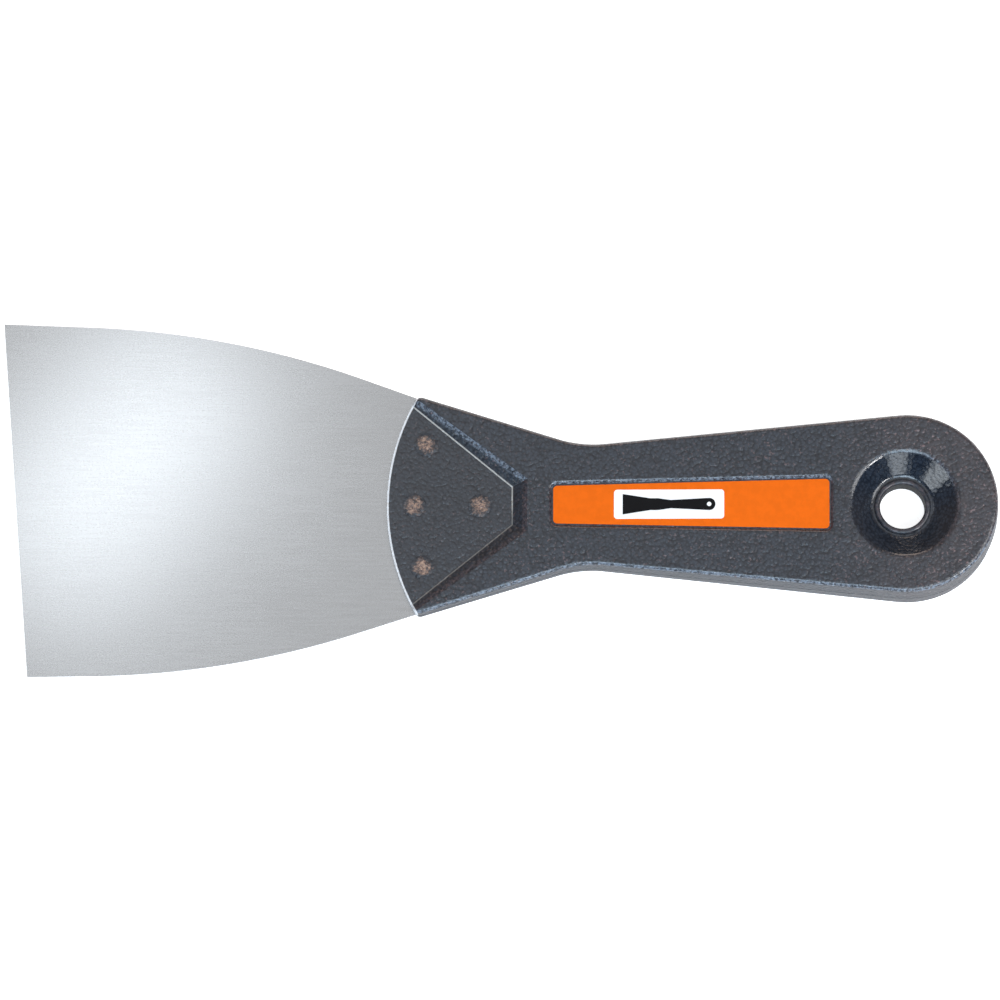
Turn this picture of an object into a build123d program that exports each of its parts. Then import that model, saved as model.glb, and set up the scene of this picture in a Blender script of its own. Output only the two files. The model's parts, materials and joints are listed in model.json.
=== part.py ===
"""Flexible putty knife: a thin spring steel blade, riveted between two pressed steel handle shells.

Frame, in millimetres: the origin is on the hang hole's axis, in the blade's mid-plane. +X runs from the
blade to the butt, +Y across the blade and +Z out of the front face.
"""

from build123d import *
from math import acos, atan2, cos, degrees, radians, sin, tan
import os

# Blade
blade_width = 76.2
edge_x = -187.8  # the middle of the cutting edge
edge_skew_deg = 5.2  # how far the cutting edge is out of square with the blade
blade_set_deg = 0.8  # how far the blade sits out of line with the handle, its edge towards +Y
flank_tip_deg = 1.4  # each flank's angle to the axis behind the cutting edge
bow_x = -142.5  # where a flank's two straight stretches would meet, and are joined by a bow
bow_reach = 29.4  # how far the bow runs each way from there
root_half_width = 23.3  # where the blade enters the handle
blade_root_thickness = 0.8
blade_edge_thickness = 0.6
edge_chamfer = 0.12
flex_share = 0.15  # how far along the free blade its bending is gathered into one hinge
nose_clearance = 0.1

# Tang, the part of the blade between the shells
tang_end_x = -77.5
tang_end_half_width = 6.0
tang_corner_radius = 2.0
tang_clearance = 0.4

# Handle outline, at the seam between the shells
shoulder_x = -102.7
shoulder_half_width = 23.8
shoulder_radius = 1.5
front_arc_x = -109.2  # the foremost point of the handle's front edge
neck_x = -68.0
neck_half_width = 12.85
neck_radius = 25.0
butt_x = 0.9  # the centre of the rounded butt
butt_radius = 19.4

# Shells
sheet = 1.0
half_height = 6.0  # from the seam to the face, over the hang hole
face_rise_deg = 2.0  # the face climbs towards the butt
draft_deg = 2.0
face_edge_radius = 1.0
seam_chamfer = 0.15

# Sunk panel that grips the tang
panel_end_x = -82.8
panel_end_half_width = 4.0
panel_flank_deg = 39.4
panel_wall_deg = 28.0  # the sloping walls, from the level
panel_edge_radius = 0.4

# Rivets: place along X and across Y
rivet_places = {
    "rivet_upper": (-100.8, 13.2),
    "rivet_front": (-103.3, 0.0),
    "rivet_lower": (-101.6, -13.3),
    "rivet_rear": (-89.4, 0.0),
}
rivet_radius = 1.5
rivet_head_radius = 2.5
rivet_crown = 0.12
rivet_crown_share = 0.7  # the flat top of a crown, as a share of the head
rivet_clearance = 0.04

# Hang hole: a dish in each shell, and the eyelet that clamps them
bore_radius = 4.77
eyelet_wall = 0.6
eyelet_lip_height = 0.7  # of the rolled lip, over the dish floor
eyelet_lip_width = 0.63  # beyond the tube
eyelet_lip_round = 0.56
eyelet_clearance = 0.05
dish_floor_z = 2.0
dish_floor_margin = 0.6  # of flat floor round the lip
dish_wall_run = 4.8
dish_corner_radius = 1.5
dish_rim_radius = 1.4

# Labels, each in a shallow recess
label_start_x = -74.0
label_end_x = -15.6
label_start_height = 8.1
label_end_height = 10.7
label_corner_radius = 0.85
label_thickness = 0.15
recess_depth = 0.5
recess_margin = 0.35
recess_wall_run = 0.5
recess_corner_radius = 1.2
recess_edge_radius = 0.6

# Worked out
face_plane = Plane(
    origin=(0, 0, half_height),
    x_dir=(cos(radians(face_rise_deg)), 0, sin(radians(face_rise_deg))),
    z_dir=(-sin(radians(face_rise_deg)), 0, cos(radians(face_rise_deg))),
)
tang_z = blade_root_thickness / 2  # a tang face, on which a sunk panel lies
panel_z = tang_z + sheet  # the outer face of a sunk panel
eyelet_radius = bore_radius + eyelet_wall
eyelet_lip_radius = eyelet_radius + eyelet_lip_width
dish_floor_radius = eyelet_lip_radius + dish_floor_margin
flex_x = front_arc_x + flex_share * (edge_x - front_arc_x)
reach = 120.0  # longer and wider than the handle is across
tall = 3 * half_height


def cone_run(wall_deg, rise):
    """How far a wall sloping at wall_deg moves sideways as it climbs by rise."""
    return rise / tan(radians(wall_deg))


def mirrored(points):
    """A closed outline, anticlockwise, from the points of its upper half, given towards +X."""
    return [(x, -y) for x, y in points] + points[::-1]


def blade_outline():
    """The whole blade in plan, from the skewed cutting edge to the end of the tang."""
    half = blade_width / 2
    skew = half * tan(radians(edge_skew_deg))
    bow_y = half - (bow_x - edge_x) * tan(radians(flank_tip_deg))
    bow_turn = atan2(bow_y - root_half_width, shoulder_x - bow_x) - radians(flank_tip_deg)
    handle_flank = atan2(shoulder_half_width - neck_half_width, neck_x - shoulder_x)
    tang_half = shoulder_half_width - sheet / cos(handle_flank) - 3 * tang_clearance
    upper = [
        (edge_x - skew, half),
        (bow_x, bow_y),
        (shoulder_x, root_half_width),
        (shoulder_x, tang_half),
        (tang_end_x, tang_end_half_width),
    ]
    lower = [(x, -y) for x, y in reversed(upper)]
    lower[-1] = (edge_x + skew, -half)
    outline = make_face(Polyline(*upper, *lower, close=True))
    bows = outline.vertices().filter_by(lambda v: abs(v.X - bow_x) < 0.01)
    outline = fillet(bows, bow_reach / tan(bow_turn / 2))
    ends = outline.vertices().filter_by(lambda v: abs(v.X - tang_end_x) < 0.01)
    outline = fillet(ends, tang_corner_radius)
    grip = Pos(shoulder_x, 0)
    return grip * Rot(0, 0, -blade_set_deg) * grip.inverse() * outline


def blade_parts():
    """The tang with the blade's root, and the blade beyond the hinge that stands for its flex."""
    plan = extrude(blade_outline(), amount=tall, both=True)
    tip = blade_edge_thickness / 2
    past_edge = edge_x - blade_width  # beyond the cutting edge's further corner
    taper = Polyline(
        (flex_x, tang_z),
        (edge_x, tip),
        (past_edge, tip),
        (past_edge, -tip),
        (edge_x, -tip),
        (flex_x, -tang_z),
        close=True,
    )
    side = make_face(taper) + Pos(flex_x, 0) * Circle(tang_z)
    free = extrude(Plane.XZ * side, amount=reach, both=True) & plan
    cutting_edge = free.faces().sort_by(Axis.X)[0]
    free = chamfer(cutting_edge.edges().filter_by(lambda e: e.length > blade_width / 2), edge_chamfer)

    slab = Pos(flex_x + reach, 0) * Rectangle(2 * reach, blade_root_thickness)
    slab -= Pos(flex_x, 0) * Circle(tang_z + nose_clearance)
    tang = extrude(Plane.XZ * slab, amount=reach, both=True) & plan
    for x, y in rivet_places.values():
        tang -= Pos(x, y) * Cylinder(rivet_radius + rivet_clearance, tall)
    return tang, free


def handle_outline():
    """The handle in plan at the seam: the front arc, two flanks, the neck and the rounded butt."""
    to_neck = atan2(neck_half_width, neck_x - butt_x)
    distance = ((neck_x - butt_x) ** 2 + neck_half_width**2) ** 0.5
    touch = to_neck - acos(butt_radius / distance)
    butt_start = (butt_x + butt_radius * cos(touch), butt_radius * sin(touch))
    shoulder = (shoulder_x, shoulder_half_width)
    upper = [shoulder, (neck_x, neck_half_width), butt_start]
    lower = [(x, -y) for x, y in upper]
    outline = make_face(
        Polyline(*lower)
        + ThreePointArc(lower[-1], (butt_x + butt_radius, 0), butt_start)
        + Polyline(*upper[::-1])
        + ThreePointArc(shoulder, (front_arc_x, 0), lower[0])
    )
    necks = outline.vertices().filter_by(lambda v: abs(v.X - neck_x) < 0.01)
    outline = fillet(necks, neck_radius)
    shoulders = outline.vertices().filter_by(lambda v: abs(v.X - shoulder_x) < 0.01)
    return fillet(shoulders, shoulder_radius)


def under_face(outline, depth):
    """A drafted block over the outline, from the seam up to depth below the face."""
    block = extrude(outline, amount=tall, taper=draft_deg)
    above = face_plane.offset(-depth) * Pos(0, 0, reach) * Box(4 * reach, 4 * reach, 2 * reach)
    return block - above


def panel_pocket(depth):
    """The sunk panel's hollow, or the same hollow a sheet deeper, with a floor depth lower."""
    floor_z = panel_z - depth
    front_x = front_arc_x - tall  # well ahead of the handle, so that the hollow is open at the front
    spread = tan(radians(panel_flank_deg)) * (panel_end_x - front_x)
    grow = depth * tan(radians(panel_wall_deg / 2))
    upper = [(front_x, panel_end_half_width + spread), (panel_end_x, panel_end_half_width)]
    outline = make_face(Polyline(*mirrored(upper), close=True))
    low = offset(outline, grow, kind=Kind.INTERSECTION)
    high = offset(outline, grow + cone_run(panel_wall_deg, tall), kind=Kind.INTERSECTION)
    return loft([Pos(0, 0, floor_z) * low, Pos(0, 0, floor_z + tall) * high], ruled=True)


def label_outline(margin, corner):
    """The label's trapezoid, widened by margin on every side, with rounded corners."""
    upper = [
        (label_start_x - margin, label_start_height / 2 + margin),
        (label_end_x + margin, label_end_height / 2 + margin),
    ]
    outline = make_face(Polyline(*mirrored(upper), close=True))
    return fillet(outline.vertices(), corner)


def label_recess(depth):
    """The label's recess, or the same hollow a sheet deeper."""
    low_margin = recess_margin + depth
    low_corner = recess_corner_radius + depth
    low = label_outline(low_margin, low_corner)
    high = label_outline(low_margin + recess_wall_run, low_corner + recess_wall_run)
    floor = face_plane.offset(-recess_depth - depth)
    mouth = face_plane.offset(-depth) * high
    return loft([floor * low, mouth]) + extrude(mouth, amount=sheet)


def dish_hollow(depth):
    """The dish round the hang hole, or the same hollow a sheet deeper."""
    wall_deg = degrees(atan2(half_height - dish_floor_z, dish_wall_run))
    floor_radius = dish_floor_radius + depth * tan(radians(wall_deg / 2))
    floor_z = dish_floor_z - depth
    top_radius = floor_radius + cone_run(wall_deg, tall)
    top_z = floor_z + tall
    half = [(0, floor_z), (floor_radius, floor_z), (top_radius, top_z), (0, top_z)]
    profile = make_face(Polyline(*half, close=True))
    corner = profile.vertices().filter_by(lambda v: abs(v.X - floor_radius) < 0.01)
    profile = fillet(corner, dish_corner_radius + depth)
    return revolve(Plane.XZ * profile, Axis.Z)


def rivet_section(clearance, crown):
    """Half of a rivet's section: the shank, the countersunk heads and their low crowns."""
    shank = rivet_radius + clearance
    head = rivet_head_radius + clearance
    upper = [
        (shank, tang_z),
        (head, panel_z),
        (head * rivet_crown_share, panel_z + crown),
        (0, panel_z + crown),
    ]
    lower = [(r, -z) for r, z in reversed(upper)]
    return make_face(Polyline(*upper, *lower, close=True))


def rivet():
    """A flush rivet, its two heads peened down into their countersinks."""
    return revolve(Plane.XZ * rivet_section(0, rivet_crown), Axis.Z)


def rivet_hole():
    """The countersunk hole for a rivet, through both shells and the tang."""
    return revolve(Plane.XZ * rivet_section(rivet_clearance, tall), Axis.Z)


def eyelet():
    """The tube through both dishes, its ends rolled out over the dish floors."""
    lip_z = dish_floor_z + eyelet_lip_height
    profile = make_face(
        Polyline(
            (bore_radius, -lip_z),
            (eyelet_lip_radius, -lip_z),
            (eyelet_lip_radius, -dish_floor_z),
            (eyelet_radius, -dish_floor_z),
            (eyelet_radius, dish_floor_z),
            (eyelet_lip_radius, dish_floor_z),
            (eyelet_lip_radius, lip_z),
            (bore_radius, lip_z),
            close=True,
        )
    )
    tops = profile.vertices().filter_by(lambda v: abs(abs(v.Y) - lip_z) < 0.01)
    profile = fillet(tops, eyelet_lip_round)
    return revolve(Plane.XZ * profile, Axis.Z)


def sink(solid, hollow, radius):
    """The solid less the hollow, with the edge where the hollow leaves the face rounded over."""
    solid -= hollow
    mouth = [
        edge
        for edge in solid.edges()
        if abs(face_plane.to_local_coords(edge @ 0.5).Z) < 0.001 and hollow.distance_to(edge @ 0.5) < 0.001
    ]
    return fillet(mouth, radius)


def front_shell():
    """The upper handle shell, pressed from sheet, with its hollow, panel, recess and dish."""
    outline = handle_outline()
    outer = under_face(outline, 0)
    outer = chamfer(outer.faces().sort_by(Axis.Z)[0].edges(), seam_chamfer)
    outer = fillet(outer.faces().sort_by(Axis.Z)[-1].edges(), face_edge_radius)
    outer = sink(outer, panel_pocket(0), panel_edge_radius)
    outer = sink(outer, dish_hollow(0), dish_rim_radius)
    outer = sink(outer, label_recess(0), recess_edge_radius)

    hollow = under_face(offset(outline, -sheet), sheet)
    hollow -= panel_pocket(sheet)
    hollow -= label_recess(sheet)
    hollow -= dish_hollow(sheet)
    hollow -= Cylinder(eyelet_radius + eyelet_clearance + sheet, tall)
    shell = outer - hollow

    blade_slot = Pos(shoulder_x + tang_clearance - reach / 2, 0, 0) * Box(reach, reach, 2 * tang_z)
    shell -= blade_slot
    shell -= Cylinder(eyelet_radius + eyelet_clearance, tall)
    for x, y in rivet_places.values():
        shell -= Pos(x, y) * rivet_hole()
    return shell


def label():
    """The printed label on the floor of the front recess."""
    floor = face_plane.offset(-recess_depth)
    return extrude(floor * label_outline(0, label_corner_radius), amount=label_thickness)


def main():
    front = front_shell()
    front_label = label()
    tang, free_blade = blade_parts()
    parts = {
        "front_shell": front,
        "rear_shell": mirror(front, about=Plane.XY),
        "blade_tang": tang,
        "blade": free_blade,
        "hang_hole_eyelet": eyelet(),
        "front_label": front_label,
        "rear_label": mirror(front_label, about=Plane.XY),
    }
    for name, (x, y) in rivet_places.items():
        parts[name] = Pos(x, y) * rivet()
    os.makedirs("parts", exist_ok=True)
    for name, solid in parts.items():
        solid.label = name
        export_step(solid, f"parts/{name}.step")


main()
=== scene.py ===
"""Flexible putty knife: the visual model, built round its CAD frame.

Lengths are in metres, in the frame's own axes: +X from the blade to the butt, +Y across the blade and
+Z out of the front face, with the origin on the hang hole's axis in the blade's mid-plane.
"""

import json
from math import atan2, cos, pi, radians, sin, tan

import bmesh
import bpy
from bpy.props import FloatProperty, FloatVectorProperty, PointerProperty
from mathutils import Matrix, Vector


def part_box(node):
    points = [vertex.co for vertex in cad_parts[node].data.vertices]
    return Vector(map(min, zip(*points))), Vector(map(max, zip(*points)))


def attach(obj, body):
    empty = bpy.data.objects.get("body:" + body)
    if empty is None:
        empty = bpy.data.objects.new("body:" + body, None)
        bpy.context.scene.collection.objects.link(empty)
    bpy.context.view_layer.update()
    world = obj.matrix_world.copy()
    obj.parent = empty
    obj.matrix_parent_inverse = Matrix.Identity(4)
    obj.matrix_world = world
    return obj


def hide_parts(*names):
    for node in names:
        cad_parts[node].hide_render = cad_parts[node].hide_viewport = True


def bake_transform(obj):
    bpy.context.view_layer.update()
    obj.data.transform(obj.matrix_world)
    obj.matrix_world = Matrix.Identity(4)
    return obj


bl_info = {
    "name": "Flexible Putty Knife",
    "version": (1, 0, 0),
    "blender": (4, 5, 0),
    "location": "3D View > Sidebar > Putty Knife",
    "description": "Builds the blade, labels and finishes of a flexible putty knife round its CAD frame",
    "category": "Add Mesh",
}

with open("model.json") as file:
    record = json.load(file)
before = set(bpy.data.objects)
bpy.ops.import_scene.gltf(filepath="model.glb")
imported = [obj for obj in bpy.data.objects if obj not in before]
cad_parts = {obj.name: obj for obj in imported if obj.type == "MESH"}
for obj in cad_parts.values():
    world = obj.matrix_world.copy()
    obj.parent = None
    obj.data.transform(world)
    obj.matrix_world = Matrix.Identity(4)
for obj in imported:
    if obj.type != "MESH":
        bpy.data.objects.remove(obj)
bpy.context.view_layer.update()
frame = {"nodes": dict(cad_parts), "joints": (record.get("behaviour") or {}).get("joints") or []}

MM = 0.001
HANDLE = "handle"
SHELLS = ("front_shell", "rear_shell")
LABELS = ("front_label", "rear_label")
RIVETS = ("rivet_upper", "rivet_front", "rivet_lower", "rivet_rear")
EYELET = "hang_hole_eyelet"

# Places that the frame gives
blade_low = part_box("blade")[0]
shell_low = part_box("front_shell")[0]
label_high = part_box("front_label")[1]
hinge = Vector(next(j for j in frame["joints"] if j["name"] == "blade_flex")["pos_m"])
rivet_centres = [(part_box(name)[0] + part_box(name)[1]) / 2 for name in RIVETS]


def paint(red, green, blue):
    """A colour on Blender's linear scale, from the 0 to 255 values that a painter would mix by eye."""
    shares = (red / 255, green / 255, blue / 255)
    return tuple(v / 12.92 if v <= 10 / 255 else ((v + 0.055) / 1.055) ** 2.4 for v in shares)


def opaque(colour):
    """The colour with the full alpha that a shader socket wants."""
    return (*colour[:3], 1.0)


# ---------------------------------------------------------------------------------------------------------
# Settings
# ---------------------------------------------------------------------------------------------------------


class BladeSettings(bpy.types.PropertyGroup):
    """Sizes and steel of the blade."""

    width: FloatProperty(
        name="Width", description="Across the cutting edge", default=76.2 * MM, unit="LENGTH"
    )
    edge_x: FloatProperty(
        name="Cutting edge", description="X of the middle of the cutting edge", default=-187.8 * MM,
        unit="LENGTH",
    )
    edge_skew: FloatProperty(
        name="Edge skew", description="How far the cutting edge is out of square", default=radians(5.2),
        unit="ROTATION",
    )
    set_angle: FloatProperty(
        name="Set", description="How far the blade sits out of line with the handle", default=radians(0.8),
        unit="ROTATION",
    )
    flank_angle: FloatProperty(
        name="Flank angle", description="Each flank's angle behind the cutting edge", default=radians(1.4),
        unit="ROTATION",
    )
    bow_x: FloatProperty(
        name="Bow", description="X where a flank's straight stretches would meet", default=-142.5 * MM,
        unit="LENGTH",
    )
    bow_reach: FloatProperty(
        name="Bow reach", description="How far the bow runs each way", default=29.4 * MM, unit="LENGTH"
    )
    root_half_width: FloatProperty(
        name="Root half width", description="Half the width at the handle", default=23.3 * MM, unit="LENGTH"
    )
    root_thickness: FloatProperty(
        name="Root thickness", description="Gauge of the steel at the handle", default=0.8 * MM, unit="LENGTH"
    )
    edge_thickness: FloatProperty(
        name="Edge thickness", description="Thickness at the cutting edge", default=0.6 * MM, unit="LENGTH"
    )
    bend_end: FloatProperty(
        name="Bend end", description="How far from the handle the flex is spread", default=24.0 * MM,
        unit="LENGTH",
    )
    steel: FloatVectorProperty(
        name="Steel", description="Colour of the ground steel", default=paint(185, 186, 188), subtype="COLOR",
        min=0.0, max=1.0,
    )


class HandleSettings(bpy.types.PropertyGroup):
    """Colours of the handle's enamel and of its rivets."""

    enamel: FloatVectorProperty(
        name="Enamel", description="Body colour of the hammered enamel", default=paint(18, 24, 34),
        subtype="COLOR", min=0.0, max=1.0,
    )
    enamel_light: FloatVectorProperty(
        name="Enamel, thin", description="Colour where the enamel lies thin", default=paint(40, 47, 58),
        subtype="COLOR", min=0.0, max=1.0,
    )
    speck: FloatVectorProperty(
        name="Speck", description="Colour of the metal flecks in the enamel", default=paint(112, 94, 96),
        subtype="COLOR", min=0.0, max=1.0,
    )
    copper: FloatVectorProperty(
        name="Rivet copper", description="Colour of the bare rivet heads", default=paint(178, 146, 126),
        subtype="COLOR", min=0.0, max=1.0,
    )
    copper_dark: FloatVectorProperty(
        name="Rivet copper, dull", description="Colour of the tarnish on the rivet heads",
        default=paint(112, 90, 82), subtype="COLOR", min=0.0, max=1.0,
    )


class LabelSettings(bpy.types.PropertyGroup):
    """Sizes and inks of the label's print."""

    orange: FloatVectorProperty(
        name="Label", description="Colour of the label", default=paint(234, 104, 12), subtype="COLOR",
        min=0.0, max=1.0,
    )
    white: FloatVectorProperty(
        name="Patch", description="Colour of the printed patch", default=paint(250, 250, 250),
        subtype="COLOR", min=0.0, max=1.0,
    )
    black: FloatVectorProperty(
        name="Ink", description="Colour of the knife mark", default=paint(16, 16, 18), subtype="COLOR",
        min=0.0, max=1.0,
    )
    patch_start: FloatProperty(
        name="Patch start", description="X of the patch's blade end", default=-61.1 * MM, unit="LENGTH"
    )
    patch_end: FloatProperty(
        name="Patch end", description="X of the patch's butt end", default=-37.8 * MM, unit="LENGTH"
    )
    patch_height: FloatProperty(
        name="Patch height", description="Across the patch", default=6.3 * MM, unit="LENGTH"
    )
    ink_thickness: FloatProperty(
        name="Ink thickness", description="Thickness of each printed layer", default=0.03 * MM, unit="LENGTH"
    )


class StudioSettings(bpy.types.PropertyGroup):
    """The floor, the light and the camera."""

    floor: FloatVectorProperty(
        name="Floor", description="Colour of the floor", default=(0.9, 0.9, 0.9), subtype="COLOR",
        min=0.0, max=1.0,
    )
    tilt: FloatProperty(
        name="Camera tilt", description="How far the camera leans from straight above", default=radians(12.0),
        unit="ROTATION",
    )
    distance: FloatProperty(
        name="Camera distance", description="From the camera to the knife", default=2.0, unit="LENGTH"
    )
    view_width: FloatProperty(
        name="View width", description="Width of the view at the knife", default=211.9 * MM, unit="LENGTH"
    )
    roll: FloatProperty(
        name="Camera roll", description="Turn of the view", default=radians(0.2), unit="ROTATION"
    )


# ---------------------------------------------------------------------------------------------------------
# Shader tools
# ---------------------------------------------------------------------------------------------------------


class Wire:
    """A socket. An expression on wires and numbers adds the Math nodes that work it out."""

    def __init__(self, nodes, socket):
        self.nodes = nodes
        self.socket = socket

    def maths(self, operation, *terms):
        return self.nodes.node("ShaderNodeMath", {"operation": operation}, dict(enumerate(terms)))

    def __add__(self, other):
        return self.maths("ADD", self, other)

    def __sub__(self, other):
        return self.maths("SUBTRACT", self, other)

    def __rsub__(self, other):
        return self.maths("SUBTRACT", other, self)

    def __mul__(self, other):
        return self.maths("MULTIPLY", self, other)

    def __abs__(self):
        return self.maths("ABSOLUTE", self)

    __radd__ = __add__
    __rmul__ = __mul__

    def highest(self, other):
        return self.maths("MAXIMUM", self, other)

    def ramp(self, start, end, low=0.0, high=1.0):
        """Runs smoothly from low to high as this value goes from start to end."""
        settings = {"interpolation_type": "SMOOTHSTEP"}
        values = {"Value": self, "From Min": start, "From Max": end, "To Min": low, "To Max": high}
        return self.nodes.node("ShaderNodeMapRange", settings, values)


def pick(sockets, key):
    """The socket with that number, identifier or name."""
    if isinstance(key, int):
        return sockets[key]
    return next(s for s in sockets if key in (s.identifier, s.name))


class NodeTools:
    """What adds nodes to the node tree of a material or of the world."""

    def __init__(self, tree):
        self.tree = tree

    def node(self, kind, settings=None, values=None, output=0):
        """Adds a node with its settings, then the values or wires of its sockets, and gives one output."""
        node = self.tree.nodes.new(kind)
        for name, setting in (settings or {}).items():
            setattr(node, name, setting)
        for key, value in (values or {}).items():
            self.feed(pick(node.inputs, key), value)
        return Wire(self, pick(node.outputs, output))

    def feed(self, socket, value):
        """Links a wire to the socket, or sets the socket's own value."""
        if isinstance(value, Wire):
            self.tree.links.new(value.socket, socket)
        else:
            socket.default_value = value

    def place(self, output="Object"):
        """One of the texture coordinates: where a point of the surface is, unless another is named."""
        return self.node("ShaderNodeTexCoord", output=output)

    def axis(self, vector, letter):
        return self.node("ShaderNodeSeparateXYZ", values={0: vector}, output=letter)

    def length(self, vector):
        return self.node("ShaderNodeVectorMath", {"operation": "LENGTH"}, {0: vector}, "Value")

    def stretched(self, vector, scale):
        return self.node("ShaderNodeVectorMath", {"operation": "MULTIPLY"}, {0: vector, 1: scale})

    def moved(self, vector, shift):
        return self.node("ShaderNodeVectorMath", {"operation": "ADD"}, {0: vector, 1: shift})

    def noise(self, vector, scale, detail=2.0, roughness=0.5):
        values = {"Vector": vector, "Scale": scale, "Detail": detail, "Roughness": roughness}
        return self.node("ShaderNodeTexNoise", None, values)

    def cells(self, vector, scale, smoothness=0.5):
        values = {"Vector": vector, "Scale": scale, "Smoothness": smoothness}
        return self.node("ShaderNodeTexVoronoi", {"feature": "SMOOTH_F1"}, values)

    def mix(self, factor, first, second):
        """A colour between two colours."""
        settings = {"data_type": "RGBA"}
        values = {"Factor_Float": factor, "A_Color": first, "B_Color": second}
        return self.node("ShaderNodeMix", settings, values, "Result_Color")


class Finish(NodeTools):
    """A material whose surface is one Principled shader."""

    def __init__(self, name, **constants):
        self.material = bpy.data.materials.new(name)
        self.material.use_nodes = True
        super().__init__(self.material.node_tree)
        self.shader = self.tree.nodes["Principled BSDF"]
        for key, value in constants.items():
            self.shader.inputs[key.replace("_", " ")].default_value = value

    def surface(self, name, value):
        """Feeds one of the shader's own sockets."""
        self.feed(self.shader.inputs[name], value)

    def bump(self, height, distance):
        """Raises the surface by height times distance."""
        values = {"Height": height, "Distance": distance, "Strength": 1.0}
        self.surface("Normal", self.node("ShaderNodeBump", None, values))


# ---------------------------------------------------------------------------------------------------------
# Finishes
# ---------------------------------------------------------------------------------------------------------

FACE_RISE = radians(2.0)  # the handle's face climbs towards the butt
FACE_HEIGHT = 6.0 * MM  # of the face over the hang hole
HAMMER_DEPTH = 0.1 * MM
PEBBLES_PER_METRE = 1400
DISH_RIM_OUTER = 11.9 * MM
DISH_RIM_INNER = 10.8 * MM
PANEL_TOP = 2.2 * MM  # heights over the blade's mid-plane
PANEL_FOOT = 1.5 * MM
PANEL_END_X = -78.0 * MM
BLOTCH_RADIUS = 4.6 * MM
BLOTCH_CORE = 2.9 * MM
# painted shade: the sunk panel and the rivet heads are mixed by PANEL_SHADE towards the darker colour below
PANEL_SHADE = 0.5
PANEL_SHADE_COLOUR = paint(34, 37, 44)
# painted highlight: the pale line along the panel's foot
FOOT_HIGHLIGHT = paint(184, 182, 178)
# painted shade: the near-black of the hang hole's bore wall
BORE_SHADE = paint(14, 15, 18)
# painted highlight: the near-white line along the handle's front arc
FRONT_EDGE_HIGHLIGHT = paint(222, 224, 228)
# painted highlight: pale blue on the worn rims that face -Y
RIM_HIGHLIGHT = paint(140, 160, 180)
BUTT_TINT = paint(66, 58, 60)
# the blade's side faces are painted this darker grey
STEEL_SIDE = paint(96, 96, 100)
SHOULDER_X = -102.7 * MM
SHOULDER_HALF_WIDTH = 23.8 * MM


def hammered(finish, place, depth):
    """Pebbled skin of hammered enamel: domed cells with narrow valleys, and a fine grit over them."""
    pebbles = finish.cells(finish.moved(place, (0.011, 0.007, 0.003)), PEBBLES_PER_METRE, 0.35)
    domes = 1 - pebbles * pebbles * 1.6
    grit = finish.noise(place, 3600, 2.0, 0.6)
    finish.bump(domes + grit * 0.35, depth)
    return domes


def enamel_colour(finish, place, domes, colours, flecked=1.0):
    """Dark enamel, thin on top of its cells and pooled in the valleys, with scattered metal flecks."""
    cloud = finish.noise(place, 260, 3.0, 0.6).ramp(0.35, 0.65)
    thin = domes.ramp(0.35, 0.95) * 0.75 + cloud * 0.25
    base = finish.mix(thin, opaque(colours.enamel), opaque(colours.enamel_light))
    where = finish.noise(place, 120, 2.0, 0.5).ramp(0.42, 0.62, 0.25, 0.7)
    butt = finish.axis(place, "X").ramp(-20 * MM, 10 * MM, 0.0, 0.5)
    flecks = finish.noise(finish.moved(place, (0.05, 0.02, 0.01)), 1500, 2.0, 0.5).ramp(0.56, 0.78)
    base = finish.mix(butt * flecked * cloud.ramp(0.0, 1.0, 0.4, 1.0), base, opaque(BUTT_TINT))
    return finish.mix(flecks * (where + butt) * flecked, base, opaque(colours.speck))


def sunk_enamel(finish, place, base):
    """The enamel in the sunk panel: darker than on the face by painted shade, with a painted highlight as a
    pale line along its foot, paler on the +Y half.
    """
    height = abs(finish.axis(place, "Z"))
    # painted shade: deeper in the sunk panel the enamel is mixed towards a darker colour
    base = finish.mix(height.ramp(PANEL_TOP, PANEL_FOOT) * PANEL_SHADE, base, opaque(PANEL_SHADE_COLOUR))
    # painted highlight: a pale line along the foot of the panel's walls, paler on the +Y half
    foot = height.ramp(1.4 * MM, 1.46 * MM) * height.ramp(1.62 * MM, 1.52 * MM)
    near_panel = finish.axis(place, "X").ramp(PANEL_END_X, PANEL_END_X - 2 * MM)
    lit = finish.axis(place, "Y").ramp(-3 * MM, 1 * MM, 0.35, 0.9)
    return finish.mix(foot * near_panel * lit, base, opaque(FOOT_HIGHLIGHT))


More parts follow.
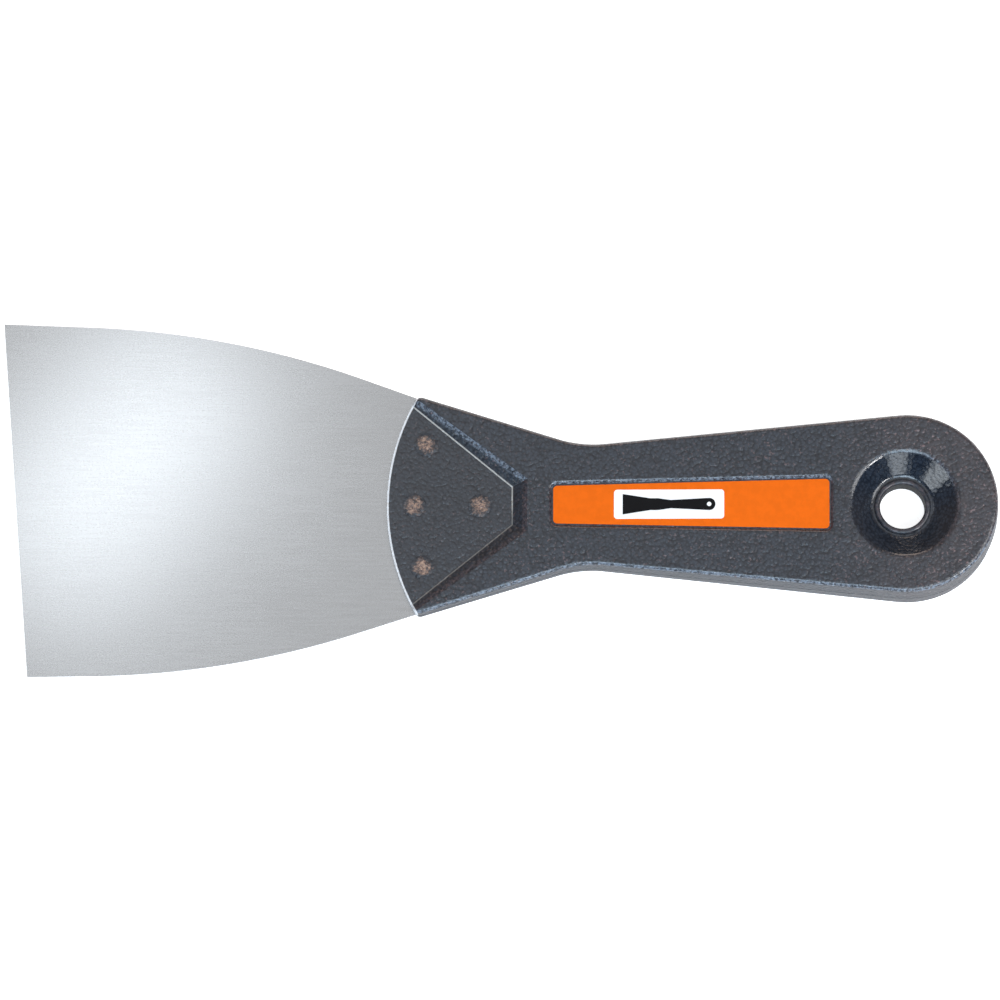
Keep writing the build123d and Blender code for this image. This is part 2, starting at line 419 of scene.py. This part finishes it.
def hammered_enamel(colours):
    """The shells' enamel: pebbled on the face, smooth in the dish, dark with painted shade in the panel,
    burnt at the rivets, with painted highlights on the front arc, the panel's foot and the rims that face -Y.
    """
    finish = Finish("hammered enamel", Coat_Roughness=0.14, Specular_IOR_Level=0.55)
    place = finish.place()
    across = finish.stretched(place, (1, 1, 0))
    from_hole = finish.length(across)
    in_dish = from_hole.ramp(DISH_RIM_OUTER, DISH_RIM_INNER)
    domes = hammered(finish, place, in_dish.ramp(0.0, 1.0, HAMMER_DEPTH, 0.35 * HAMMER_DEPTH))
    base = sunk_enamel(finish, place, enamel_colour(finish, place, domes, colours, 1 - in_dish))
    base = copper_blotch(finish, place, base, colours)
    tilt = abs(finish.axis(finish.place("Normal"), "Z"))
    rim = tilt.ramp(0.3, 0.5) * tilt.ramp(0.96, 0.9) * (1 - in_dish) * near_face(finish, place)
    wear = rim * finish.noise(place, 1700, 3.0, 0.7).ramp(0.40, 0.62)
    base = finish.mix(wear * 0.3, base, opaque(colours.speck))
    # painted highlight: the worn rims that face -Y are mixed towards pale blue
    wear_and_highlight = wear * finish.axis(finish.place("Normal"), "Y").ramp(-0.1, -0.4)
    base = finish.mix(wear_and_highlight * 0.5, base, opaque(RIM_HIGHLIGHT))
    # painted highlight: a near-white line along the front arc's rim
    finish.surface("Base Color", finish.mix(front_edge_highlight(finish, place) * 0.9, base, opaque(FRONT_EDGE_HIGHLIGHT)))
    wall = tilt.ramp(0.45, 0.2)
    finish.surface("Roughness", (0.34 - in_dish * 0.12).highest(wall * 0.55))
    finish.surface("Coat Weight", 0.5 - wall * 0.5)
    return finish.material


def copper_blotch(finish, place, base, colours):
    """The ragged copper blotch round each rivet, where the enamel is burnt off, with pits left in it."""
    spread = finish.noise(place, 900, 4.0, 0.75)
    blotch = None
    for centre in rivet_centres:
        offset = finish.stretched(finish.moved(place, (-centre.x, -centre.y, 0)), (1, 1, 0))
        away = finish.length(offset)
        near = (away + spread * 4.4 * MM).ramp(BLOTCH_RADIUS, BLOTCH_CORE)
        blotch = near if blotch is None else blotch.highest(near)
    pits = finish.noise(place, 1700, 3.0, 0.7).ramp(0.46, 0.6)
    tone = finish.noise(place, 2400, 2.0, 0.6).ramp(0.35, 0.65)
    copper = finish.mix(tone, opaque(colours.copper_dark), opaque(colours.copper))
    return finish.mix(blotch * (1 - pits * 0.8) * 0.85, base, copper)


def front_edge_highlight(finish, place):
    """A mask of the narrow rim along the front arc of the handle, where a near-white painted highlight goes.
    """
    drop = SHOULDER_X - shell_low.x
    radius = (SHOULDER_HALF_WIDTH**2 + drop**2) / (2 * drop)
    shifted = finish.stretched(finish.moved(place, (-shell_low.x - radius, 0, 0)), (1, 1, 0))
    ragged = finish.length(shifted) + finish.noise(place, 1500, 2.0, 0.5) * 0.12 * MM
    ahead = finish.axis(place, "X").ramp(SHOULDER_X + 1 * MM, SHOULDER_X)
    return ragged.ramp(radius - 0.42 * MM, radius - 0.3 * MM) * ahead


def near_face(finish, place):
    """A mask of what lies just under the sloping face."""
    face = finish.axis(place, "X") * tan(FACE_RISE) + FACE_HEIGHT
    return (face - abs(finish.axis(place, "Z"))).ramp(0.7 * MM, 0.4 * MM)


def eyelet_enamel(colours):
    """The eyelet's enamel: smoother than the shells', worn bright round the lip, with painted shade in the
    bore.
    """
    finish = Finish("eyelet enamel", Coat_Roughness=0.1)
    place = finish.place()
    base = enamel_colour(finish, place, hammered(finish, place, 0.2 * HAMMER_DEPTH), colours, 0.3)
    lip = abs(finish.axis(place, "Z")).ramp(2.3 * MM, 2.7 * MM)
    wear_and_highlight = lip * finish.noise(place, 900, 3.0, 0.7).ramp(0.45, 0.65)
    bore = abs(finish.axis(finish.place("Normal"), "Z")).ramp(0.5, 0.15)
    base = finish.mix(wear_and_highlight * 0.3, base, opaque(colours.speck))
    # painted shade: the bore's wall is mixed towards near-black
    finish.surface("Base Color", finish.mix(bore * 0.9, base, opaque(BORE_SHADE)))
    finish.surface("Roughness", (0.42 - wear_and_highlight * 0.1).highest(bore * 0.7))
    finish.surface("Coat Weight", 0.25 - bore * 0.25)
    return finish.material


def rivet_copper(colours):
    """A flush rivet head: the panel's enamel with the panel's painted shade, burnt through to ragged copper
    in the middle.
    """
    finish = Finish("rivet copper", Coat_Weight=0.25, Coat_Roughness=0.2)
    place = finish.place()
    domes = hammered(finish, place, HAMMER_DEPTH)
    # painted shade: the rivet head takes the sunk panel's darker colour
    base = finish.mix(PANEL_SHADE, enamel_colour(finish, place, domes, colours), opaque(PANEL_SHADE_COLOUR))
    finish.surface("Base Color", copper_blotch(finish, place, base, colours))
    finish.surface("Roughness", domes.ramp(0.3, 1.0, 0.44, 0.36))
    return finish.material


def ground_steel(blade):
    """Spring steel ground along its length: fine streaks, faint speckle and side faces painted a darker grey.
    """
    finish = Finish("ground steel", Metallic=1.0)
    place = finish.place()
    streaks = finish.noise(finish.stretched(place, (90, 2600, 90)), 1.0, 4.0, 0.65)
    speckle = finish.noise(place, 2200, 2.0, 0.6)
    cloud = finish.noise(finish.stretched(place, (18, 60, 18)), 1.0, 3.0, 0.6)
    dark = [v * 0.92 for v in blade.steel]
    tone = streaks * 0.5 + speckle * 0.3 + cloud * 0.2
    base = finish.mix(tone.ramp(0.36, 0.64), opaque(dark), opaque(blade.steel))
    side = abs(finish.axis(finish.place("Normal"), "Z")).ramp(0.95, 0.8)
    finish.surface("Base Color", finish.mix(side * 0.9, base, opaque(STEEL_SIDE)))
    finish.surface("Roughness", tone.ramp(0.3, 0.7, 0.24, 0.30))
    finish.bump(streaks * 0.8 + speckle * 0.4, 0.0015 * MM)
    return finish.material


def label_print(name, colour):
    """Printed film: even colour, with the faint mottle of the enamel under it."""
    finish = Finish(name, Specular_IOR_Level=0.12)
    place = finish.place()
    mottle = finish.noise(place, 500, 3.0, 0.6)
    dull = [v * 0.93 for v in colour]
    finish.surface("Base Color", finish.mix(mottle.ramp(0.35, 0.65), opaque(dull), opaque(colour)))
    finish.surface("Roughness", mottle.ramp(0.3, 0.7, 0.34, 0.44))
    finish.bump(finish.noise(place, 900, 2.0, 0.5), 0.01 * MM)
    return finish.material


def refinish(node, material):
    """Gives a carried-over CAD node its finish."""
    for slot in frame["nodes"][node].material_slots:
        slot.material = material


# ---------------------------------------------------------------------------------------------------------
# Meshes
# ---------------------------------------------------------------------------------------------------------


def arc(centre, radius, start, end, steps):
    """Points along an arc, both ends included."""
    turns = [start + (end - start) * i / steps for i in range(steps + 1)]
    return [(centre[0] + radius * cos(t), centre[1] + radius * sin(t)) for t in turns]


def circle(centre, radius, steps=32):
    return arc(centre, radius, 0, 2 * pi * (steps - 1) / steps, steps - 1)


def mirrored(points):
    """A closed outline, anticlockwise, from the points of its upper half, given towards +X."""
    return [(x, -y) for x, y in points] + points[::-1]


def plate(name, loops, low, high, cuts=(), bevel=0.0):
    """A flat piece inside the first loop and outside the others, its faces at heights low(x) and high(x).

    cuts are the places along X where its faces are divided."""
    bm = bmesh.new()
    rims = []
    for loop in loops:
        verts = [bm.verts.new((x, y, 0)) for x, y in loop]
        rims += [bm.edges.new(pair) for pair in zip(verts, verts[1:] + verts[:1])]
    bmesh.ops.triangle_fill(bm, use_beauty=True, use_dissolve=False, edges=rims)
    for x in cuts:
        everything = bm.verts[:] + bm.edges[:] + bm.faces[:]
        bmesh.ops.bisect_plane(bm, geom=everything, plane_co=(x, 0, 0), plane_no=(1, 0, 0), dist=1e-6)
    under = bm.faces[:]
    raised = bmesh.ops.extrude_face_region(bm, geom=under, use_keep_orig=True)
    upper = {v for v in raised["geom"] if isinstance(v, bmesh.types.BMVert)}
    for v in bm.verts:
        v.co.z = high(v.co.x) if v in upper else low(v.co.x)
    bmesh.ops.recalc_face_normals(bm, faces=bm.faces[:])
    if bevel:
        corners = [e for e in bm.edges if len(e.link_faces) == 2 and e.calc_face_angle() > radians(60)]
        corners = [e for e in corners if abs(e.verts[0].co.z - e.verts[1].co.z) < 0.1 * MM]
        bmesh.ops.bevel(bm, geom=corners, offset=bevel, segments=1, affect="EDGES", clamp_overlap=True)
    mesh = bpy.data.meshes.new(name)
    bm.to_mesh(mesh)
    bm.free()
    mesh.shade_smooth()
    mesh.set_sharp_from_angle(angle=radians(30))
    piece = bpy.data.objects.new(name, mesh)
    bpy.context.scene.collection.objects.link(piece)
    return piece


# ---------------------------------------------------------------------------------------------------------
# Operators
# ---------------------------------------------------------------------------------------------------------


class PUTTY_OT_handle_shells(bpy.types.Operator):
    """Finish both handle shells with hammered enamel"""

    bl_idname = "putty.handle_shells"
    bl_label = "Handle Shells"

    def execute(self, context):
        material = hammered_enamel(context.scene.putty_handle)
        for node in SHELLS:
            refinish(node, material)
        return {"FINISHED"}


class PUTTY_OT_hang_hole_eyelet(bpy.types.Operator):
    """Finish the eyelet in the hang hole"""

    bl_idname = "putty.hang_hole_eyelet"
    bl_label = "Hang Hole Eyelet"

    def execute(self, context):
        refinish(EYELET, eyelet_enamel(context.scene.putty_handle))
        return {"FINISHED"}


class PUTTY_OT_rivets(bpy.types.Operator):
    """Finish the four flush rivets"""

    bl_idname = "putty.rivets"
    bl_label = "Rivets"

    def execute(self, context):
        material = rivet_copper(context.scene.putty_handle)
        for node in RIVETS:
            refinish(node, material)
        return {"FINISHED"}


# Blade, where the CAD model has the same sizes
NECK_X = -68.0 * MM
NECK_HALF_WIDTH = 12.85 * MM
SHEET = 1.0 * MM
TANG_CLEARANCE = 0.4 * MM
TANG_END_X = -77.5 * MM
TANG_END_HALF_WIDTH = 6.0 * MM
TANG_CORNER_RADIUS = 2.0 * MM
RIVET_HOLE_RADIUS = 1.54 * MM
EDGE_BEVEL = 0.12 * MM
BEND_STEPS = 36
BOW_STEPS = 28


def flank(blade):
    """One flank of the blade, from the cutting edge to the handle: straight, bowed, then straight."""
    half = blade.width / 2
    bow_y = half - (blade.bow_x - blade.edge_x) * tan(blade.flank_angle)
    root_angle = atan2(bow_y - blade.root_half_width, SHOULDER_X - blade.bow_x)
    radius = blade.bow_reach / tan((root_angle - blade.flank_angle) / 2)
    along = Vector((cos(blade.flank_angle), -sin(blade.flank_angle)))
    outward = Vector((sin(blade.flank_angle), cos(blade.flank_angle)))
    start = Vector((blade.bow_x, bow_y)) - blade.bow_reach * along
    centre = start - radius * outward
    bow = arc(centre, radius, pi / 2 - blade.flank_angle, pi / 2 - root_angle, BOW_STEPS)
    return [(blade.edge_x, half), *bow, (SHOULDER_X, blade.root_half_width)]


def tang_side():
    """One side of the tang, from the handle's shoulder to the rounded corner at its end."""
    handle_angle = atan2(SHOULDER_HALF_WIDTH - NECK_HALF_WIDTH, NECK_X - SHOULDER_X)
    start = Vector((SHOULDER_X, SHOULDER_HALF_WIDTH - SHEET / cos(handle_angle) - 3 * TANG_CLEARANCE))
    corner = Vector((TANG_END_X, TANG_END_HALF_WIDTH))
    slope = atan2(start.y - corner.y, corner.x - start.x)
    reach = TANG_CORNER_RADIUS * tan((pi / 2 - slope) / 2)
    centre = (TANG_END_X - TANG_CORNER_RADIUS, TANG_END_HALF_WIDTH - reach)
    return [tuple(start), *arc(centre, TANG_CORNER_RADIUS, pi / 2 - slope, 0, 8)]


def blade_outline(blade):
    """The whole blade in plan, with its skewed cutting edge, set a little out of line with the handle."""
    skew = blade.width / 2 * tan(blade.edge_skew)
    upper = flank(blade) + tang_side()
    points = [(x, -y) for x, y in upper] + upper[::-1]
    points[0] = (blade.edge_x + skew, -blade.width / 2)
    points[-1] = (blade.edge_x - skew, blade.width / 2)
    turn_cos = cos(blade.set_angle)
    turn_sin = sin(blade.set_angle)
    turned = []
    for x, y in points:
        along = x - SHOULDER_X
        turned.append((SHOULDER_X + along * turn_cos + y * turn_sin, y * turn_cos - along * turn_sin))
    return turned


class PUTTY_OT_blade_sheet(bpy.types.Operator):
    """Build the blade and its tang as the one sheet of spring steel that they are"""

    bl_idname = "putty.blade_sheet"
    bl_label = "Blade"

    def execute(self, context):
        blade = context.scene.putty_blade
        bend_start = shell_low.x
        bend_end = bend_start - blade.bend_end
        cuts = [bend_start + (bend_end - bend_start) * i / BEND_STEPS for i in range(BEND_STEPS + 1)]
        cuts.append(hinge.x)
        holes = [circle((c.x, c.y), RIVET_HOLE_RADIUS) for c in rivet_centres]

        def half_thickness(x):
            share = min(1.0, max(0.0, (x - hinge.x) / (blade.edge_x - hinge.x)))
            return (blade.root_thickness + share * (blade.edge_thickness - blade.root_thickness)) / 2

        piece = plate(
            "blade_sheet", [blade_outline(blade), *holes], lambda x: -half_thickness(x), half_thickness,
            cuts, EDGE_BEVEL,
        )
        piece.data.materials.append(ground_steel(blade))
        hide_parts("blade", "blade_tang")
        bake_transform(piece)
        return {"FINISHED"}


PATCH_CORNER = 0.7 * MM
MARK_LENGTH = 19.6 * MM
MARK_HEIGHT = 4.4 * MM


def knife_mark(centre, length, height):
    """The outline of a small scraper and the hang hole in its handle: a plain mark of what the tool is."""
    left = centre - length / 2
    butt = height * 0.3
    upper = [
        (left, height / 2),
        (left + length * 0.3, height * 0.29),
        (left + length * 0.38, height * 0.29),
        (left + length * 0.52, height * 0.2),
        *arc((left + length - butt, 0), butt, radians(100), 0, 10),
    ]
    return [mirrored(upper[:-1]), circle((left + length - butt, 0), height * 0.11, 16)]


def rounded_box(start, end, height, corner):
    """A rounded rectangle, anticlockwise."""
    x_in = (start + corner, end - corner)
    y_in = height / 2 - corner
    corners = [(x_in[1], y_in, 0), (x_in[0], y_in, 1), (x_in[0], -y_in, 2), (x_in[1], -y_in, 3)]
    return [p for x, y, turn in corners for p in arc((x, y), corner, turn * pi / 2, (turn + 1) * pi / 2, 6)]


class PUTTY_OT_labels(bpy.types.Operator):
    """Finish both labels and print the front one with a plain knife mark on a white patch"""

    bl_idname = "putty.labels"
    bl_label = "Labels"

    def execute(self, context):
        inks = context.scene.putty_label
        material = label_print("label orange", inks.orange)
        for node in LABELS:
            refinish(node, material)
        rise = tan(FACE_RISE)
        layer = inks.ink_thickness

        def printed(name, loops, colour, level):
            piece = plate(
                name,
                loops,
                lambda x: label_high.z + (x - label_high.x) * rise + level * layer,
                lambda x: label_high.z + (x - label_high.x) * rise + (level + 1) * layer,
            )
            piece.data.materials.append(label_print(name.replace("_", " "), colour))
            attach(piece, HANDLE)

        patch = rounded_box(inks.patch_start, inks.patch_end, inks.patch_height, PATCH_CORNER)
        printed("label_patch", [patch], inks.white, 0)
        middle = (inks.patch_start + inks.patch_end) / 2
        printed("label_mark", knife_mark(middle, MARK_LENGTH, MARK_HEIGHT), inks.black, 1)
        return {"FINISHED"}


# Studio
FLOOR_HALF_WIDTH = 3.0
FLOOR_CLEARANCE = 0.05 * MM
SENSOR_WIDTH = 36.0
AIM = Vector((-85.2 * MM, 1.6 * MM, 0.0))
CEILING = (0.80, 0.80, 0.80)
CEILING_TILT = radians(12.0)
CEILING_EDGE = radians(34.0)  # the ceiling fades into the walls at this angle from its own axis
CEILING_FULL = radians(20.0)
COOL_WALL = (0.030, 0.050, 0.085)
WARM_WALL = (0.260, 0.215, 0.185)
WHITE = (1.0, 1.0, 1.0)
PALE_BLUE = (0.88, 0.95, 1.0)
FLOOR_GLOW = 0.8


def floor_slope():
    """The slope of the surface that touches the blade's edge and the lowest part of the rear shell."""
    tip = Vector((blade_low.x, 0, blade_low.z))
    lowest = [v.co for v in frame["nodes"]["rear_shell"].data.vertices]
    return min((p.z - tip.z) / (p.x - tip.x) for p in lowest)


def soft_light(name, place, aim, size, watts, colour, along=(1, 0, 0)):
    """A soft box of that length and width, turned to its aim, its length lying along a direction."""
    light = bpy.data.lights.new(name, "AREA")
    light.shape = "RECTANGLE"
    light.size, light.size_y = size
    light.energy = watts
    light.color = colour
    lamp = bpy.data.objects.new(name, light)
    lamp.location = place
    back = (Vector(place) - Vector(aim)).normalized()
    right = (Vector(along) - Vector(along).dot(back) * back).normalized()
    lamp.rotation_euler = Matrix((right, back.cross(right), back)).transposed().to_euler()
    bpy.context.scene.collection.objects.link(lamp)


def studio_world():
    """A soft bright ceiling, and dim walls: cool in front of the knife and warm behind it."""
    world = bpy.data.worlds.new("studio")
    world.use_nodes = True
    room = NodeTools(world.node_tree)
    way = room.place("Generated")
    walls = room.mix(room.axis(way, "Y").ramp(-0.5, 0.5), (*COOL_WALL, 1), (*WARM_WALL, 1))
    overhead = (0, sin(CEILING_TILT), cos(CEILING_TILT))
    facing = room.node("ShaderNodeVectorMath", {"operation": "DOT_PRODUCT"}, {0: way, 1: overhead}, "Value")
    ceiling = facing.ramp(cos(CEILING_EDGE), cos(CEILING_FULL))
    background = world.node_tree.nodes["Background"].inputs["Color"]
    room.feed(background, room.mix(ceiling, walls, (*CEILING, 1)))
    return world


class PUTTY_OT_stage(bpy.types.Operator):
    """Lay the floor and set up the soft light and the camera"""

    bl_idname = "putty.stage"
    bl_label = "Floor, Light and Camera"

    def execute(self, context):
        studio = context.scene.putty_studio
        scene = context.scene
        scene.view_settings.view_transform = "Standard"

        slope = floor_slope()
        height = blade_low.z - slope * blade_low.x - FLOOR_CLEARANCE
        bm = bmesh.new()
        bmesh.ops.create_grid(bm, x_segments=1, y_segments=1, size=FLOOR_HALF_WIDTH)
        for v in bm.verts:
            v.co.z = height + slope * v.co.x
        mesh = bpy.data.meshes.new("floor")
        bm.to_mesh(mesh)
        bm.free()
        floor = bpy.data.objects.new("floor", mesh)
        scene.collection.objects.link(floor)
        card = Finish("white card", Roughness=0.9, Specular_IOR_Level=0.2)
        card.surface("Base Color", opaque(studio.floor))
        card.surface("Emission Color", (1, 1, 1, 1))
        card.surface("Emission Strength", FLOOR_GLOW)
        mesh.materials.append(card.material)

        scene.world = studio_world()
        spot = (-0.175, 0.008, 0)
        middle = (-0.05, 0.0, 0.0)
        soft_light(
            "blade light", (-0.175, 0.051, 0.20), spot, (0.074, 0.038), 0.0245, (0.90, 0.96, 1.0),
            along=(0.62, 0.78, 0),
        )
        soft_light("front light", (-0.05, -0.50, 0.86), middle, (0.50, 0.40), 5.0, (0.66, 0.84, 1.0))
        soft_light("right light", (0.42, -0.42, 0.6), middle, (0.16, 0.16), 2.6, WHITE)
        soft_light("side light", (0.55, -0.10, 0.75), middle, (0.40, 0.40), 2.4, WHITE)
        soft_light("low front light", (0.15, -0.9, 0.36), middle, (0.45, 0.20), 1.2, PALE_BLUE)
        soft_light(
            "low left light", (-0.78, -0.53, 0.30), middle, (0.50, 0.22), 1.7, PALE_BLUE,
            along=(0.57, -0.8, 0),
        )
        soft_light("warm back light", (-0.05, 0.9, 0.36), middle, (0.40, 0.40), 1.6, (1.0, 0.82, 0.7))

        camera = bpy.data.cameras.new("camera")
        camera.sensor_width = SENSOR_WIDTH
        camera.lens = SENSOR_WIDTH * studio.distance / studio.view_width
        camera.clip_end = 20.0
        view = bpy.data.objects.new("camera", camera)
        away = Vector((0, -sin(studio.tilt), cos(studio.tilt)))
        view.location = AIM + away * studio.distance
        view.rotation_euler = (studio.tilt, 0, 0)
        view.rotation_euler.rotate_axis("Z", studio.roll)
        scene.collection.objects.link(view)
        scene.camera = view
        return {"FINISHED"}


# ---------------------------------------------------------------------------------------------------------
# Panel and registration
# ---------------------------------------------------------------------------------------------------------

PIECES = (
    PUTTY_OT_handle_shells,
    PUTTY_OT_hang_hole_eyelet,
    PUTTY_OT_rivets,
    PUTTY_OT_blade_sheet,
    PUTTY_OT_labels,
    PUTTY_OT_stage,
)
SETTINGS = {
    "putty_blade": BladeSettings,
    "putty_handle": HandleSettings,
    "putty_label": LabelSettings,
    "putty_studio": StudioSettings,
}


class PUTTY_PT_panel(bpy.types.Panel):
    """Lists the knife's pieces and its settings"""

    bl_idname = "PUTTY_PT_panel"
    bl_label = "Putty Knife"
    bl_space_type = "VIEW_3D"
    bl_region_type = "UI"
    bl_category = "Putty Knife"

    def draw(self, context):
        for piece in PIECES:
            self.layout.operator(piece.bl_idname)
        for name, group in SETTINGS.items():
            box = self.layout.box()
            box.label(text=group.__doc__)
            for setting in group.__annotations__:
                box.prop(getattr(context.scene, name), setting)


def register():
    for cls in (*SETTINGS.values(), *PIECES, PUTTY_PT_panel):
        bpy.utils.register_class(cls)
    for name, group in SETTINGS.items():
        setattr(bpy.types.Scene, name, PointerProperty(type=group))


def unregister():
    for name in SETTINGS:
        delattr(bpy.types.Scene, name)
    for cls in reversed((*SETTINGS.values(), *PIECES, PUTTY_PT_panel)):
        bpy.utils.unregister_class(cls)


def main():
    """Builds every piece and the stage."""
    register()
    for piece in PIECES:
        group, action = piece.bl_idname.split(".")
        getattr(getattr(bpy.ops, group), action)()


if __name__ == "__main__":
    main()
